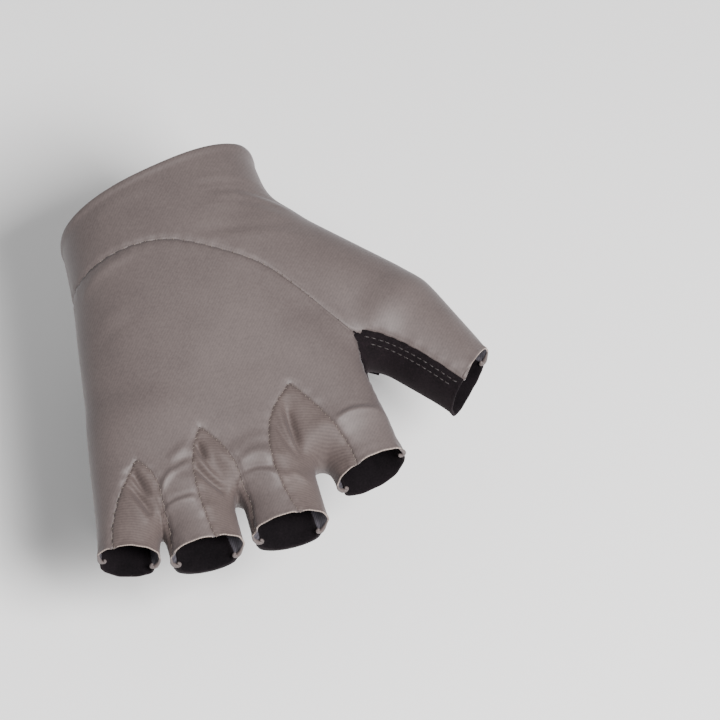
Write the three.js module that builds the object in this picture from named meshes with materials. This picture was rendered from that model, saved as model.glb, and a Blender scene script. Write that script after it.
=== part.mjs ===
// A right-hand cycling mitt, filled out as a hand fills it, palm down.
// Millimetres. The fingers point along -Y, +X is the thumb's side, +Z is the back of the hand.
// The origin is the centre of the wrist opening.
import * as THREE from "three";

// Driving dimensions
const handLength = 133; // wrist opening to the ring finger's hem
const wristWidth = 68.6;
const wristDepth = 46;
const cuffSlant = 13.5; // degrees that the wrist opening turns about Z
const palmWidth = 93.6; // across the knuckles
const knuckleDepth = 27;
const fingerTubeLength = 50; // from inside the hand to the hem
const fingerDroop = 6; // how far a finger's hem lies below its root
const thumbRootWidth = 42;
const thumbRootDepth = 35;
const thumbKnuckleWidth = 35.2;
const thumbKnuckleDepth = 28;
const thumbHemWidth = 23.6;
const thumbHemDepth = 21.5;
const thumbHemSlant = 13; // degrees that the thumb's hem is cut off square
const thumbLap = 2; // how far both runs of the thumb reach past its knuckle
const upperWall = 1; // knitted upper
const gussetWall = 0.9; // strips between the fingers
const palmWall = 1.2; // palm suede
const patchWall = 0.9; // layers sewn onto the palm
const seamGap = 0.3; // between neighbouring pieces
const palmBandWidth = 15; // knitted band between the wrist opening and the palm
const fingerTabHeight = 9;
const wristTabWidth = 15;
const wristTabWall = 1.3;
const wristTabOutside = 19; // length of webbing over the palm side of the band
const wristTabInside = 11; // length of webbing inside the wrist opening
const wristTabRise = 3.2; // how far the loop stands past the wrist opening

// How softly the tubes of the form run into each other, as blend lengths
const rootBlend = 9; // between the fingers' roots
const hemBlend = 1; // between the fingers' hems
const knuckleBlend = 7;
const thumbBlend = 10;
const jointBlend = 8;
const handSquareness = 2.35; // exponent of the hand's oval sections

// Mesh density
const seamRows = 7; // wrist opening to the curved seam
const knuckleRows = 6; // curved seam to the roots of the fingers
const fingerRows = 6;
const hemRows = 2; // of them, in the band at the hem
const gussetColumns = 6;
const thumbRows = 9;
const stripColumns = 4; // columns across one finger
const sideColumns = 3; // columns over the index finger's side
const thumbTopRow = 1; // row where the thumb leaves the hand
const bandRow = 3; // row of the seam between band and palm
const wristTabColumns = 4;
const legRows = 3; // of the wrist tab, on each side of the rim
const turnRows = 6; // of the wrist tab, over the rim

// Sections of the hand. along: share of handLength. sideways: share of palmWidth.
// wide and deep: 0 is the wrist's size, 1 the knuckles'. rise: share of knuckleDepth.
const handSections = [
  { along: -0.12, sideways: 0.0, wide: -0.02, deep: 0.0, rise: 0.0 },
  { along: 0.0, sideways: 0.0, wide: 0.0, deep: 0.0, rise: 0.0 },
  { along: 0.225, sideways: 0.008, wide: 0.24, deep: 0.19, rise: 0.0 },
  { along: 0.375, sideways: 0.012, wide: 0.52, deep: 0.37, rise: 0.0 },
  { along: 0.525, sideways: 0.018, wide: 0.8, deep: 0.6, rise: -0.02 },
  { along: 0.707, sideways: 0.009, wide: 1.0, deep: 0.97, rise: -0.07 },
  { along: 0.82, sideways: 0.005, wide: 1.04, deep: 1.28, rise: -0.13 },
  { along: 0.95, sideways: 0.0, wide: 1.0, deep: 1.75, rise: -0.2 },
];
const fingersPart = { from: 0.78, to: 0.9 }; // shares of handLength
const handEnd = { along: 0.862, slope: 0.21, blend: 6 }; // where the palm stops between the fingers

// Fingers from the thumb's side. gap: space between this hem and the next finger's.
// reach: share of handLength. splay: degrees in plan. bow and farBow: how far the two seams of the
// back strip swing towards the thumb, as shares of the finger's width. The angles run round the
// finger from the thumb's side over the back: the knitted back strip lies between backFrom and
// backTo, the palm strip between palmFrom and palmTo.
const fingers = [
  { name: "index", width: 24.8, depth: 21.5, gap: 6.2, reach: 0.872, splay: 13, bow: 0, farBow: 0,
    backFrom: 4, backTo: 120, palmFrom: 214, palmTo: 364 },
  { name: "middle", width: 25.2, depth: 21.5, gap: 3.4, reach: 0.985, splay: 0, bow: -0.26,
    farBow: 0.12, backFrom: 78, backTo: 166, palmFrom: 212, palmTo: 322 },
  { name: "ring", width: 24.4, depth: 21, gap: 2.8, reach: 1.0, splay: -1, bow: -0.13,
    farBow: 0.14, backFrom: 78, backTo: 166, palmFrom: 212, palmTo: 322 },
  { name: "little", width: 20, depth: 19, gap: 0, reach: 0.972, splay: -14, bow: 0,
    farBow: 0, backFrom: 122, backTo: 196, palmFrom: 196, palmTo: 322 },
];
const handEdge = -0.566 * palmWidth; // outer side of the little finger's hem

// Thumb joints, as shares of palmWidth, handLength and knuckleDepth.
const thumbJoints = {
  root: { across: 0.278, along: 0.226, rise: -0.07 },
  knuckle: { across: 0.668, along: 0.458, rise: -0.15 },
  hem: { across: 0.868, along: 0.675, rise: -0.26 },
};
const thumbSeamBow = 0.1; // how far the thumb's seams swing outwards, as a share of its width
const thumbSeams = { back: 118, palm: 335 }; // degrees round the thumb's hem from its outer side

// Curved seam over the back of the hand. across: 0 at the index finger's side, 1 at the little
// finger's. along: share of handLength.
const curvedSeam = [
  { across: 0.0, along: 0.523 },
  { across: 0.02, along: 0.43 },
  { across: 0.054, along: 0.36 },
  { across: 0.128, along: 0.295 },
  { across: 0.22, along: 0.258 },
  { across: 0.32, along: 0.233 },
  { across: 0.41, along: 0.216 },
  { across: 0.55, along: 0.205 },
  { across: 0.7, along: 0.205 },
  { across: 0.85, along: 0.213 },
  { across: 1.0, along: 0.23 },
];

// Where the finger strips start, going round the hand from the index side.
// angle: degrees. along: share of handLength. column: counts round the hand.
const littleSide = fingers.length * stripColumns;
const palmEnd = 2 * littleSide - 1;
const columns = palmEnd + sideColumns;
const roots = [
  { column: 0, angle: 4, along: 0.65 },
  { column: stripColumns, angle: 64, along: 0.66 },
  { column: 2 * stripColumns, angle: 104, along: 0.726 },
  { column: 3 * stripColumns, angle: 132, along: 0.768 },
  { column: littleSide, angle: 196, along: 0.765 },
  { column: littleSide + stripColumns, angle: 231, along: 0.845 },
  { column: littleSide + 2 * stripColumns, angle: 260, along: 0.815 },
  { column: littleSide + 3 * stripColumns, angle: 300, along: 0.75 },
  { column: palmEnd, angle: 332, along: 0.65 },
  { column: columns, angle: 364, along: 0.65 },
];

// Where the thumb leaves the hand: degrees round the hand of the lines along its back and palm.
const thumbLines = [
  { along: 0, back: 30, palm: 328 },
  { along: 0.1, back: 38, palm: 324 },
  { along: 0.27, back: 46, palm: 318 },
  { along: 0.36, back: 38, palm: 320 },
  { along: 0.42, back: 30, palm: 322 },
  { along: 0.523, back: 22, palm: 332 },
  { along: 0.65, back: 4, palm: 332 },
];
const wristTabPlace = -0.2; // middle of the wrist tab, as a share of palmWidth

// The patch over the thumb's web: rows and columns of the hand, and rows of the thumb.
const webPatch = { firstRow: 4, lastRow: 9, firstColumn: palmEnd - 2, thumbRows: 2 };

// Folds and dents. The line runs from x0, y0 to x1, y1 (shares of palmWidth and handLength),
// on the back (side 1) or the palm (side -1). width and height are shares of knuckleDepth.
const folds = [
  { side: 1, x0: -0.345, y0: 0.8, x1: -0.19, y1: 0.865, width: 0.15, height: 0.05 },
  { side: 1, x0: -0.335, y0: 0.865, x1: -0.17, y1: 0.93, width: 0.13, height: 0.045 },
  { side: 1, x0: -0.1, y0: 0.8, x1: 0.14, y1: 0.85, width: 0.15, height: 0.05 },
  { side: 1, x0: -0.06, y0: 0.88, x1: 0.18, y1: 0.9, width: 0.13, height: 0.04 },
  { side: 1, x0: 0.3, y0: 0.78, x1: 0.5, y1: 0.76, width: 0.13, height: 0.04 },
  { side: 1, x0: -0.1, y0: 0.45, x1: 0.1, y1: 0.62, width: 0.9, height: -0.04 },
  { side: -1, x0: -0.12, y0: 0.42, x1: 0.02, y1: 0.68, width: 0.85, height: -0.11 },
  { side: -1, x0: 0.27, y0: 0.28, x1: 0.4, y1: 0.5, width: 0.2, height: -0.07 },
  { side: -1, x0: 0.15, y0: 0.3, x1: 0.26, y1: 0.52, width: 0.22, height: 0.05 },
];

const { degToRad, lerp, clamp, smoothstep } = THREE.MathUtils;
const vector = (x, y, z) => new THREE.Vector3(x, y, z);
const between = (a, b, share) => a.clone().lerp(b, share);
const handPlace = ({ across, along, rise }) =>
  vector(across * palmWidth, -along * handLength, rise * knuckleDepth);

// The table row before a value and the share of the way to the next row.
function tableSpan(rows, key, at) {
  let i = 0;
  while (i < rows.length - 2 && at > rows[i + 1][key]) i += 1;
  return [i, clamp((at - rows[i][key]) / (rows[i + 1][key] - rows[i][key]), 0, 1)];
}

const lastOf = (row) => row[row.length - 1];

function readStraight(rows, key, column, at) {
  const [i, t] = tableSpan(rows, key, at);
  return lerp(rows[i][column], rows[i + 1][column], t);
}

// A smooth value read from a table.
function readSmooth(rows, key, column, at) {
  const [i, t] = tableSpan(rows, key, at);
  const before = rows[Math.max(i - 1, 0)];
  const from = rows[i];
  const to = rows[i + 1];
  const after = rows[Math.min(i + 2, rows.length - 1)];
  const span = to[key] - from[key];
  const startSlope = ((to[column] - before[column]) / (to[key] - before[key])) * span;
  const endSlope = ((after[column] - from[column]) / (after[key] - from[key])) * span;
  const ease = t * t * (3 - 2 * t);
  return lerp(from[column], to[column], ease) +
    (t ** 3 - 2 * t ** 2 + t) * startSlope + (t ** 3 - t ** 2) * endSlope;
}

// The form that fills the mitt

function handSection(y) {
  const read = (column) => readSmooth(handSections, "along", column, -y / handLength);
  return {
    x: read("sideways") * palmWidth,
    z: read("rise") * knuckleDepth,
    halfWidth: lerp(wristWidth, palmWidth, read("wide")) / 2,
    halfDepth: lerp(wristDepth, knuckleDepth, read("deep")) / 2,
  };
}

// Signed distance, near enough, to an oval.
function ovalDistance(u, v, halfU, halfV, power) {
  const a = Math.max(Math.abs(u) / halfU, 1e-6);
  const b = Math.max(Math.abs(v) / halfV, 1e-6);
  const size = (a ** power + b ** power) ** (1 / power);
  const slopeU = (a / size) ** (power - 1) / halfU;
  const slopeV = (b / size) ** (power - 1) / halfV;
  return (size - 1) / Math.hypot(slopeU, slopeV);
}

function joined(a, b, blend) {
  const share = Math.max(blend - Math.abs(a - b), 0) / blend;
  return Math.min(a, b) - (share * share * blend) / 4;
}

const trimmed = (a, b, blend) => -joined(-a, -b, blend);

// A straight run of a finger or thumb, with its own frame.
function makeTube(from, to) {
  const axis = to.clone().sub(from);
  const length = axis.length();
  axis.normalize();
  const across = vector(0, 0, 1).cross(axis).normalize();
  return { from, to, axis, length, across, up: axis.clone().cross(across) };
}

function tubeDistance(p, tube, widths, depths, lap) {
  const offset = p.clone().sub(tube.from);
  const reach = offset.dot(tube.axis);
  const share = clamp(reach / tube.length, 0, 1.3);
  const round = ovalDistance(offset.dot(tube.across), offset.dot(tube.up),
    lerp(widths[0], widths[1], share) / 2, lerp(depths[0], depths[1], share) / 2, 2);
  return { round: trimmed(round, -reach - lap, jointBlend), past: reach - tube.length - lap };
}

let hemEdge = handEdge + fingers.reduce((sum, finger) => sum + finger.width + finger.gap, 0);
for (const finger of fingers) {
  const splay = degToRad(finger.splay);
  const hem = vector(hemEdge - finger.width / 2, -finger.reach * handLength, -fingerDroop);
  const root = vector(hem.x - fingerTubeLength * Math.sin(splay),
    hem.y + fingerTubeLength * Math.cos(splay), 0);
  finger.tube = makeTube(root, hem);
  hemEdge -= finger.width + finger.gap;
}
const thumbHeel = makeTube(handPlace(thumbJoints.root), handPlace(thumbJoints.knuckle));
const thumbTip = makeTube(handPlace(thumbJoints.knuckle), handPlace(thumbJoints.hem));

function handDistance(p) {
  const { x, z, halfWidth, halfDepth } = handSection(p.y);
  const round = ovalDistance(p.x - x, p.z - z, halfWidth, halfDepth, handSquareness);
  const past = -p.y - handEnd.along * handLength + handEnd.slope * p.x;
  return trimmed(round, past / Math.hypot(1, handEnd.slope), handEnd.blend);
}

function thumbDistance(p) {
  const heel = tubeDistance(p, thumbHeel,
    [thumbRootWidth, thumbKnuckleWidth], [thumbRootDepth, thumbKnuckleDepth], thumbLap);
  const tip = tubeDistance(p, thumbTip,
    [thumbKnuckleWidth, thumbHemWidth], [thumbKnuckleDepth, thumbHemDepth], thumbLap);
  return joined(trimmed(heel.round, heel.past, jointBlend), tip.round, jointBlend);
}

// Negative inside the form, zero on the mitt's skin.
function formDistance(p) {
  const each = fingers.map((finger) => tubeDistance(p, finger.tube,
    [finger.width, finger.width], [finger.depth, finger.depth], 0).round);
  const free = smoothstep(-p.y / handLength, fingersPart.from, fingersPart.to);
  const blend = lerp(rootBlend, hemBlend, free);
  const allFingers = each.reduce((a, b) => joined(a, b, blend));
  return joined(
    joined(handDistance(p), allFingers, knuckleBlend), thumbDistance(p), thumbBlend);
}

function formNormal(p) {
  const step = 0.05;
  const slope = (way) => formDistance(p.clone().addScaledVector(way, step)) -
    formDistance(p.clone().addScaledVector(way, -step));
  return vector(slope(vector(1, 0, 0)), slope(vector(0, 1, 0)), slope(vector(0, 0, 1)))
    .normalize();
}

function foldHeight(p, normal) {
  let height = 0;
  for (const fold of folds) {
    const from = vector(fold.x0 * palmWidth, -fold.y0 * handLength, 0);
    const run = vector(fold.x1 * palmWidth, -fold.y1 * handLength, 0).sub(from);
    const offset = vector(p.x, p.y, 0).sub(from);
    const share = clamp(offset.dot(run) / run.lengthSq(), 0, 1);
    const away = offset.addScaledVector(run, -share).length() / (fold.width * knuckleDepth);
    const facing = smoothstep(normal.z * fold.side, 0.1, 0.6);
    height += fold.height * knuckleDepth * Math.exp(-away * away) * facing;
  }
  return height;
}

function folded(place) {
  const normal = formNormal(place);
  return { place: place.addScaledVector(normal, foldHeight(place, normal)), normal };
}

// A point of the skin: out from a centre inside the form, in a direction.
function skinPoint(centre, direction) {
  const way = direction.clone().normalize();
  const at = (distance) => centre.clone().addScaledVector(way, distance);
  const leastStep = 0.3;
  let inside = 0;
  let outside = leastStep;
  while (formDistance(at(outside)) < 0 && outside < handLength) {
    inside = outside;
    outside += Math.max(leastStep, -formDistance(at(outside)) / 2);
  }
  for (let i = 0; i < 14; i += 1) {
    const middle = (inside + outside) / 2;
    if (formDistance(at(middle)) < 0) inside = middle;
    else outside = middle;
  }
  return folded(at(outside));
}

// The point of the skin met by going one way from a guess outside it, or back from one inside it.
function reachedPoint(guess, way) {
  const place = guess.clone();
  for (let i = 0; i < 40; i += 1) place.addScaledVector(way, formDistance(place));
  return folded(place);
}

// The point of the skin nearest to a guess.
function nearestPoint(guess) {
  const place = guess.clone();
  for (let i = 0; i < 8; i += 1) place.addScaledVector(formNormal(place), -formDistance(place));
  return folded(place);
}

// Grid over the hand: rows from the wrist opening to the finger roots, columns round the hand

const handRows = seamRows + knuckleRows;
const [firstRoot] = roots;
const littleRoot = roots.find((root) => root.column === littleSide);
const palmRoot = roots.find((root) => root.column === palmEnd);

function cuffHeight(angle) {
  return (Math.tan(degToRad(cuffSlant)) * wristWidth * Math.cos(degToRad(angle))) / 2;
}

// Degrees round the hand. Columns are even at the wrist and end at the roots' angles.
function columnAngle(j, k, y) {
  const lines = (column) => readStraight(thumbLines, "along", column, -y / handLength);
  if (k > palmEnd) return lerp(lines("palm"), lines("back") + 360, (k - palmEnd) / sideColumns);
  const onBack = k <= littleSide;
  const [from, to] = onBack ? [firstRoot, littleRoot] : [littleRoot, palmRoot];
  const even = (k - from.column) / (to.column - from.column);
  const rooted = (readStraight(roots, "column", "angle", k) - from.angle) / (to.angle - from.angle);
  const share = lerp(even, rooted, j / handRows);
  return onBack
    ? lerp(lines("back"), littleRoot.angle, share)
    : lerp(littleRoot.angle, lines("palm"), share);
}

function backHeight(j, k) {
  const reach = (column) =>
    Math.cos(degToRad(columnAngle(seamRows, column, -curvedSeam[0].along * handLength)));
  const across = (reach(0) - reach(k)) / (reach(0) - reach(littleSide));
  const cuff = cuffHeight(lerp(thumbLines[0].back, littleRoot.angle, k / littleSide));
  const seam = -handLength * readSmooth(curvedSeam, "across", "along", across);
  const root = -handLength * readStraight(roots, "column", "along", k);
  return j <= seamRows
    ? lerp(cuff, seam, j / seamRows)
    : lerp(seam, root, (j - seamRows) / knuckleRows);
}

// The palm's rows meet the back's rows along both sides of the hand.
function palmHeight(j, k) {
  const own = (column) => {
    const share = (column - littleSide) / (palmEnd - littleSide);
    const cuff = cuffHeight(lerp(littleRoot.angle, thumbLines[0].palm, share));
    const root = -handLength * readStraight(roots, "column", "along", column);
    return j <= bandRow
      ? lerp(cuff, cuff - palmBandWidth, j / bandRow)
      : lerp(cuff - palmBandWidth, root, (j - bandRow) / (handRows - bandRow));
  };
  const toThumb = (k - littleSide) / (palmEnd - littleSide);
  const littleFix = backHeight(j, littleSide) - own(littleSide);
  const thumbFix = backHeight(j, 0) - own(palmEnd);
  return own(k) + littleFix * (1 - toThumb) ** 3 + thumbFix * toThumb ** 3;
}

function sectionPoint(j, k) {
  const coreShare = 0.7; // how much of the section's width the centres spread over
  let y = backHeight(j, 0);
  if (k <= littleSide) y = backHeight(j, k);
  else if (k <= palmEnd) y = palmHeight(j, k);
  const turn = degToRad(columnAngle(j, k, y));
  const { x, z, halfWidth, halfDepth } = handSection(y);
  const reach = halfWidth * Math.cos(turn);
  const way = vector((1 - coreShare) * reach, 0, halfDepth * Math.sin(turn));
  return skinPoint(vector(x + coreShare * reach, y, z), way);
}

// A point of the skin on an arch from one seam point over outermost to another.
function archPoint(centre, from, outermost, to, share) {
  const middle = between(from, to, 0.5);
  const turn = Math.PI * share;
  const guess = middle.clone().addScaledVector(from.clone().sub(middle), Math.cos(turn))
    .addScaledVector(outermost.clone().sub(middle), Math.sin(turn));
  return skinPoint(centre, guess.sub(centre));
}

const handGrid = Array.from({ length: handRows + 1 }, (_, j) =>
  Array.from({ length: columns }, (__, k) =>
    (k > palmEnd && j > thumbTopRow ? null : sectionPoint(j, k))));
const handAt = (j, k) => handGrid[j][(k + columns) % columns];

// The index finger's side, from the web of the thumb to the finger's root
const webWay = vector(0.4, -1, 0); // out of the form between thumb and index finger
const sideWay = vector(1, -0.3, 0); // out of the index finger's side
const webReach = 7; // from between both seams to about the skin
for (let j = seamRows; j <= handRows; j += 1) {
  const way = between(webWay, sideWay, (j - seamRows) / knuckleRows).normalize();
  const palm = handAt(j, palmEnd).place;
  const middle = between(palm, handAt(j, 0).place, 0.5);
  for (let k = palmEnd + 1; k < columns; k += 1) {
    const turn = (Math.PI * (k - palmEnd)) / sideColumns;
    const guess = middle.clone().addScaledVector(palm.clone().sub(middle), Math.cos(turn))
      .addScaledVector(way, webReach * Math.sin(turn));
    handGrid[j][k] = reachedPoint(guess, way.clone().negate());
  }
}

// Grids over the fingers: a back strip and a palm strip each, and a gusset between neighbours

// A point of a finger's hem at an angle round it.
function hemPoint(finger, angle) {
  const turn = degToRad(angle);
  const way = finger.tube.across.clone().multiplyScalar(Math.cos(turn) * finger.width)
    .addScaledVector(finger.tube.up, Math.sin(turn) * finger.depth);
  return skinPoint(finger.tube.to, way);
}

// The share of the way to the hem of each row. The last two rows make the hem's band.
function rowShare(r, length) {
  const band = fingerTabHeight / length;
  const free = fingerRows - hemRows;
  return r <= free ? (r / free) * (1 - band) : 1 - (band * (fingerRows - r)) / hemRows;
}

// A strip from a run of the hand's last row to an arc of the hem. Its sides leave the root quickly.
function fingerStrip(finger, firstColumn, lastColumn, fromAngle, toAngle, bow, farBow) {
  const count = lastColumn - firstColumn;
  return Array.from({ length: fingerRows + 1 }, (_, r) =>
    Array.from({ length: count + 1 }, (__, c) => {
      const root = handAt(handRows, firstColumn + c);
      const hem = hemPoint(finger, lerp(fromAngle, toAngle, c / count));
      if (r === 0) return root;
      if (r === fingerRows) return hem;
      const share = rowShare(r, root.place.distanceTo(hem.place));
      const guess = between(root.place, hem.place, share);
      guess.x = lerp(root.place.x, hem.place.x, 1 - (1 - share) ** 1.8) +
        lerp(bow, farBow, c / count) * finger.width * Math.sin(Math.PI * share ** 0.7);
      return nearestPoint(guess);
    }));
}

// Moves a grid's inner points to the middle of their neighbours, along the skin.
function evened(rows) {
  for (let r = 1; r < rows.length - 1; r += 1) {
    for (let q = 1; q < rows[r].length - 1; q += 1) {
      const near = [rows[r - 1][q], rows[r + 1][q], rows[r][q - 1], rows[r][q + 1]];
      const middle = near.reduce((sum, point) => sum.add(point.place), vector(0, 0, 0));
      rows[r][q] = nearestPoint(middle.divideScalar(near.length));
    }
  }
  return rows;
}

// A gusset: rows from one finger's hem through the crotch to the next finger's hem, columns from
// the back seam over the finger's side to the palm seam.
function gusset(left, right) {
  const seams = {
    left: { back: left.back.map((row) => row[0]), palm: left.palm.map(lastOf) },
    right: { back: right.back.map(lastOf), palm: right.palm.map((row) => row[0]) },
  };
  const inward = left.tube.axis.clone().add(right.tube.axis).normalize().negate();
  const betweenHems = between(hemPoint(left, 0).place, hemPoint(right, 180).place, 0.5);
  const crotch = reachedPoint(betweenHems, inward).place;
  const core = between(seams.left.back[0].place, seams.left.palm[0].place, 0.5);
  core.x = crotch.x + ((core.y - crotch.y) * inward.x) / inward.y;
  const leftSide = hemPoint(left, (left.backFrom + left.palmTo - 360) / 2).place;
  const rightSide = hemPoint(right, (right.backTo + right.palmFrom) / 2).place;
  const rows = [];
  for (let r = -fingerRows; r <= fingerRows; r += 1) {
    const [finger, seam, side] = r < 0
      ? [left, seams.left, leftSide]
      : [right, seams.right, rightSide];
    const [back, palm] = [seam.back[Math.abs(r)], seam.palm[Math.abs(r)]];
    const share = Math.abs(r) / fingerRows;
    const outermost = between(crotch, side, share);
    const centre = between(core, finger.tube.to, share);
    const row = [back];
    for (let q = 1; q < gussetColumns; q += 1) {
      row.push(archPoint(centre, back.place, outermost, palm.place, q / gussetColumns));
    }
    rows.push([...row, palm]);
  }
  return evened(rows);
}

fingers.forEach((finger, i) => {
  const palmFirst = littleSide + (fingers.length - 1 - i) * stripColumns;
  const palmLast = i === 0 ? columns : palmFirst + stripColumns;
  finger.back = fingerStrip(finger, i * stripColumns, (i + 1) * stripColumns,
    finger.backFrom, finger.backTo, finger.bow, finger.farBow);
  finger.palm = fingerStrip(finger, palmFirst, palmLast, finger.palmFrom, finger.palmTo, 0, 0);
});
// The index finger's and the little finger's outer seams are shared by both strips.
fingers[0].palm.forEach((row, r) => { row[row.length - 1] = fingers[0].back[r][0]; });
fingers[3].palm.forEach((row, r) => { row[0] = lastOf(fingers[3].back[r]); });

const gussets = [0, 1, 2].map((i) => gusset(fingers[i + 1], fingers[i]));

// Grid over the thumb: columns round it from the back seam over the inner side

const thumbRim = [];
for (let k = columns; k > palmEnd; k -= 1) thumbRim.push(handAt(seamRows, k));
for (let j = seamRows; j > thumbTopRow; j -= 1) thumbRim.push(handAt(j, palmEnd));
for (let k = palmEnd; k < columns; k += 1) thumbRim.push(handAt(thumbTopRow, k));
for (let j = thumbTopRow; j < seamRows; j += 1) thumbRim.push(handAt(j, 0));
const innerColumns = sideColumns + (seamRows - bandRow); // suede columns of the thumb

function thumbHemPoint(c) {
  const angle = c <= innerColumns
    ? lerp(thumbSeams.back, thumbSeams.palm, c / innerColumns)
    : lerp(thumbSeams.palm, thumbSeams.back + 360,
      (c - innerColumns) / (thumbRim.length - innerColumns));
  const turn = degToRad(angle);
  const slant = degToRad(thumbHemSlant);
  const side = thumbTip.across.clone().multiplyScalar(Math.cos(slant))
    .addScaledVector(thumbTip.axis, -Math.sin(slant));
  const way = side.multiplyScalar(Math.cos(turn) * thumbHemWidth)
    .addScaledVector(thumbTip.up, Math.sin(turn) * thumbHemDepth);
  return skinPoint(thumbTip.to, way);
}

const thumbGrid = Array.from({ length: thumbRows + 1 }, (_, m) => {
  const share = m / thumbRows;
  const swing = thumbSeamBow * thumbKnuckleWidth * Math.sin(Math.PI * share ** 0.7);
  return thumbRim.map((rim, c) => {
    const hem = thumbHemPoint(c);
    if (m === 0) return rim;
    if (m === thumbRows) return hem;
    const guess = between(rim.place, hem.place, share);
    return nearestPoint(guess.addScaledVector(thumbTip.across, swing));
  });
});
const thumbAt = (m, c) => thumbGrid[m][c % thumbRim.length];

// Pieces: each gathers faces of the grids, then gets its thickness

function facesOf(grid, fromRow, toRow, fromColumn, toColumn) {
  const faces = [];
  for (let j = fromRow; j < toRow; j += 1) {
    for (let k = fromColumn; k < toColumn; k += 1) {
      faces.push([grid(j, k), grid(j, k + 1), grid(j + 1, k + 1), grid(j + 1, k)]);
    }
  }
  return faces;
}

const gridOf = (rows) => (j, k) => rows[j][k];
const stripFaces = (strip) => facesOf(gridOf(strip), 0, fingerRows, 0, strip[0].length - 1);

const mostStretch = 1.6; // limits a layer's offset where the skin is creased
const leastMitre = 0.12; // keeps the points of narrow pieces from drawing back too far

// Gives each corner the mean direction of the faces round it, and the stretch that an offset
// along it needs to clear those faces by the whole distance.
function settleNormals(faces) {
  const around = new Map();
  for (const face of faces) {
    const [a, b, c, d] = face.map((corner) => corner.place);
    const normal = c.clone().sub(a).cross(d.clone().sub(b)).normalize();
    for (const corner of face) {
      if (!around.has(corner)) around.set(corner, []);
      around.get(corner).push(normal);
    }
  }
  for (const [corner, normals] of around) {
    corner.normal = normals.reduce((sum, n) => sum.add(n), vector(0, 0, 0)).normalize();
    const facing = Math.min(...normals.map((n) => n.dot(corner.normal)));
    corner.stretch = Math.min(1 / Math.max(facing, 1 / mostStretch), mostStretch);
  }
}

// A closed shell over some faces: outer skin raised by lift, inner skin wall below it, and a rim.
// The edges draw back by half the seam gap.
function shellGeometry(faces, wall, lift) {
  const corners = [...new Set(faces.flat())];
  const number = new Map(corners.map((corner, i) => [corner, i]));
  const sides = new Set();
  const key = (a, b) => number.get(a) * corners.length + number.get(b);
  const sidesOf = (face) => face.map((a, i) => [a, face[(i + 1) % face.length]]);
  faces.flatMap(sidesOf).forEach(([a, b]) => sides.add(key(a, b)));
  const border = faces.flatMap(sidesOf).filter(([a, b]) => !sides.has(key(b, a)));
  const inward = new Map(corners.map((corner) => [corner, vector(0, 0, 0)]));
  for (const [a, b] of border) {
    const along = b.place.clone().sub(a.place).normalize();
    for (const corner of [a, b]) {
      inward.get(corner).add(corner.normal.clone().cross(along).normalize());
    }
  }
  const points = [];
  for (const depth of [lift, lift - wall]) {
    for (const corner of corners) {
      const drawn = inward.get(corner);
      const place = corner.place.clone()
        .addScaledVector(corner.normal, depth * corner.stretch)
        .addScaledVector(drawn, seamGap / Math.max(drawn.lengthSq(), leastMitre));
      points.push(place.x, place.y, place.z);
    }
  }
  const index = [];
  const quad = (a, b, c, d) => index.push(a, b, c, a, c, d);
  const count = corners.length;
  for (const face of faces) {
    const [p, q, r, s] = face.map((corner) => corner.place);
    const firstCorner = p.distanceTo(r) <= q.distanceTo(s) ? 0 : 1;
    const [a, b, c, d] = [0, 1, 2, 3].map((i) => number.get(face[(i + firstCorner) % 4]));
    quad(a, b, c, d);
    quad(a + count, d + count, c + count, b + count);
  }
  for (const [from, to] of border) {
    const [a, b] = [number.get(from), number.get(to)];
    quad(b, a, a + count, b + count);
  }
  const geometry = new THREE.BufferGeometry();
  geometry.setAttribute("position", new THREE.Float32BufferAttribute(points, 3));
  geometry.setIndex(index);
  geometry.computeVertexNormals();
  return geometry;
}

function material(name, color, roughness) {
  return new THREE.MeshStandardMaterial({ name, color, roughness, metalness: 0 });
}

const upperMaterial = material("knitted upper", 0x8d8482, 0.7);
const palmMaterial = material("palm suede", 0x17141a, 0.95);
const webbingMaterial = material("black webbing", 0x121015, 0.8);

// A loop of webbing over the rim of the wrist opening, on the palm side

function wristTabGrid() {
  const outside = seamGap + wristTabWall; // the webbing's outer face from the skin
  const inside = upperWall + seamGap + wristTabWall;
  const middle = (inside - outside) / 2;
  const radius = (inside + outside) / 2;
  const rimAt = (x) => x * Math.tan(degToRad(cuffSlant));
  const skin = (x, y) => skinPoint(vector(x, y, 0), vector(0, 0, -1));
  const leg = (x, length, offset, side) => {
    const { place, normal } = skin(x, rimAt(x) - length);
    return {
      place: place.clone().addScaledVector(normal, offset),
      normal: normal.clone().multiplyScalar(side),
    };
  };
  const turn = (x, angle) => {
    const { place, normal } = skin(x, rimAt(x));
    const [cos, sin] = [Math.cos(angle), Math.sin(angle)];
    const forearm = vector(0, 1, 0);
    return {
      place: place.clone().addScaledVector(normal, radius * cos - middle)
        .addScaledVector(forearm, wristTabRise * sin),
      normal: normal.clone().multiplyScalar(cos).addScaledVector(forearm, sin).normalize(),
    };
  };
  const across = Array.from({ length: wristTabColumns + 1 }, (_, i) =>
    wristTabPlace * palmWidth + wristTabWidth * (0.5 - i / wristTabColumns));
  const rows = [];
  for (let i = 0; i < legRows; i += 1) {
    rows.push(across.map((x) => leg(x, wristTabOutside * (1 - i / legRows), outside, 1)));
  }
  for (let i = 0; i <= turnRows; i += 1) {
    rows.push(across.map((x) => turn(x, (Math.PI * i) / turnRows)));
  }
  for (let i = 1; i <= legRows; i += 1) {
    rows.push(across.map((x) => leg(x, (wristTabInside * i) / legRows, -inside, -1)));
  }
  return rows;
}

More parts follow.
